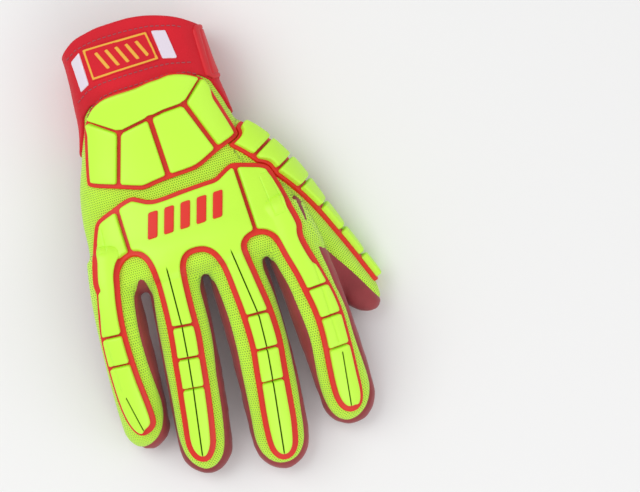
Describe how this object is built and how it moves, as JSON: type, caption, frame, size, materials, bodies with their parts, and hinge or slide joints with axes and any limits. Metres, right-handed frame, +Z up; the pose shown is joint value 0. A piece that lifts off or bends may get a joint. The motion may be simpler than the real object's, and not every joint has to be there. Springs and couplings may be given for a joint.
{
  "type": "impact work glove",
  "caption": "Right-hand impact work glove with knit back, leather palm, raised rubber guards over knuckles, fingers, thumb and wrist, and a strapped neoprene cuff.",
  "frame": {"origin": "middle of the bottom of the whole glove's box, on the surface that it lies on palm down", "axes": "+Y from the fingertips towards the cuff, +X towards the thumb side, +Z up through the back of the hand"},
  "size_m": [0.1462, 0.2382, 0.0536],
  "materials": {
    "leather": "matte synthetic leather",
    "knit": "ribbed mesh knit",
    "neoprene": "jersey-faced neoprene",
    "strap": "matte moulded",
    "loop": "brushed loop pile",
    "label": "woven label",
    "reflective": "reflective film",
    "guard_red": "matte moulded",
    "guard_lime": "matte moulded"
  },
  "bodies": {
    "root": {"palm_panel": "leather", "back_panel": "knit", "fourchette_ring_little": "leather", "fourchette_middle_ring": "leather", "fourchette_index_middle": "leather", "little_back": "knit", "little_front": "leather", "ring_back": "knit", "ring_front": "leather", "middle_back": "knit", "middle_front": "leather", "index_back": "knit", "index_front": "leather", "thumb_front": "leather", "thumb_back": "knit", "thumb_patch": "leather", "cuff": "neoprene", "cuff_label": "label", "reflective_patch_left": "reflective", "reflective_patch_right": "reflective", "strap_tab": "strap", "strap_loop_patch": "loop", "knuckle_guard_base": "guard_red", "knuckle_pad_1": "guard_lime", "knuckle_pad_2": "guard_lime", "knuckle_pad_3": "guard_lime", "wrist_guard_base": "guard_red", "wrist_pad_1": "guard_lime", "wrist_pad_2": "guard_lime", "wrist_pad_3": "guard_lime", "wrist_pad_4": "guard_lime", "wrist_pad_5": "guard_lime", "little_pad_1": "guard_lime", "little_pad_2": "guard_lime", "ring_pad_1": "guard_lime", "ring_pad_2": "guard_lime", "ring_pad_3": "guard_lime", "middle_pad_1": "guard_lime", "middle_pad_2": "guard_lime", "middle_pad_3": "guard_lime", "index_pad_1": "guard_lime", "index_pad_2": "guard_lime", "index_pad_3": "guard_lime", "thumb_guard_base": "guard_red", "thumb_pad_1": "guard_lime", "thumb_pad_2": "guard_lime", "thumb_pad_3": "guard_lime", "thumb_pad_4": "guard_lime", "thumb_pad_5": "guard_lime", "thumb_pad_6": "guard_lime", "thumb_pad_7": "guard_lime"}
  },
  "joints": []
}
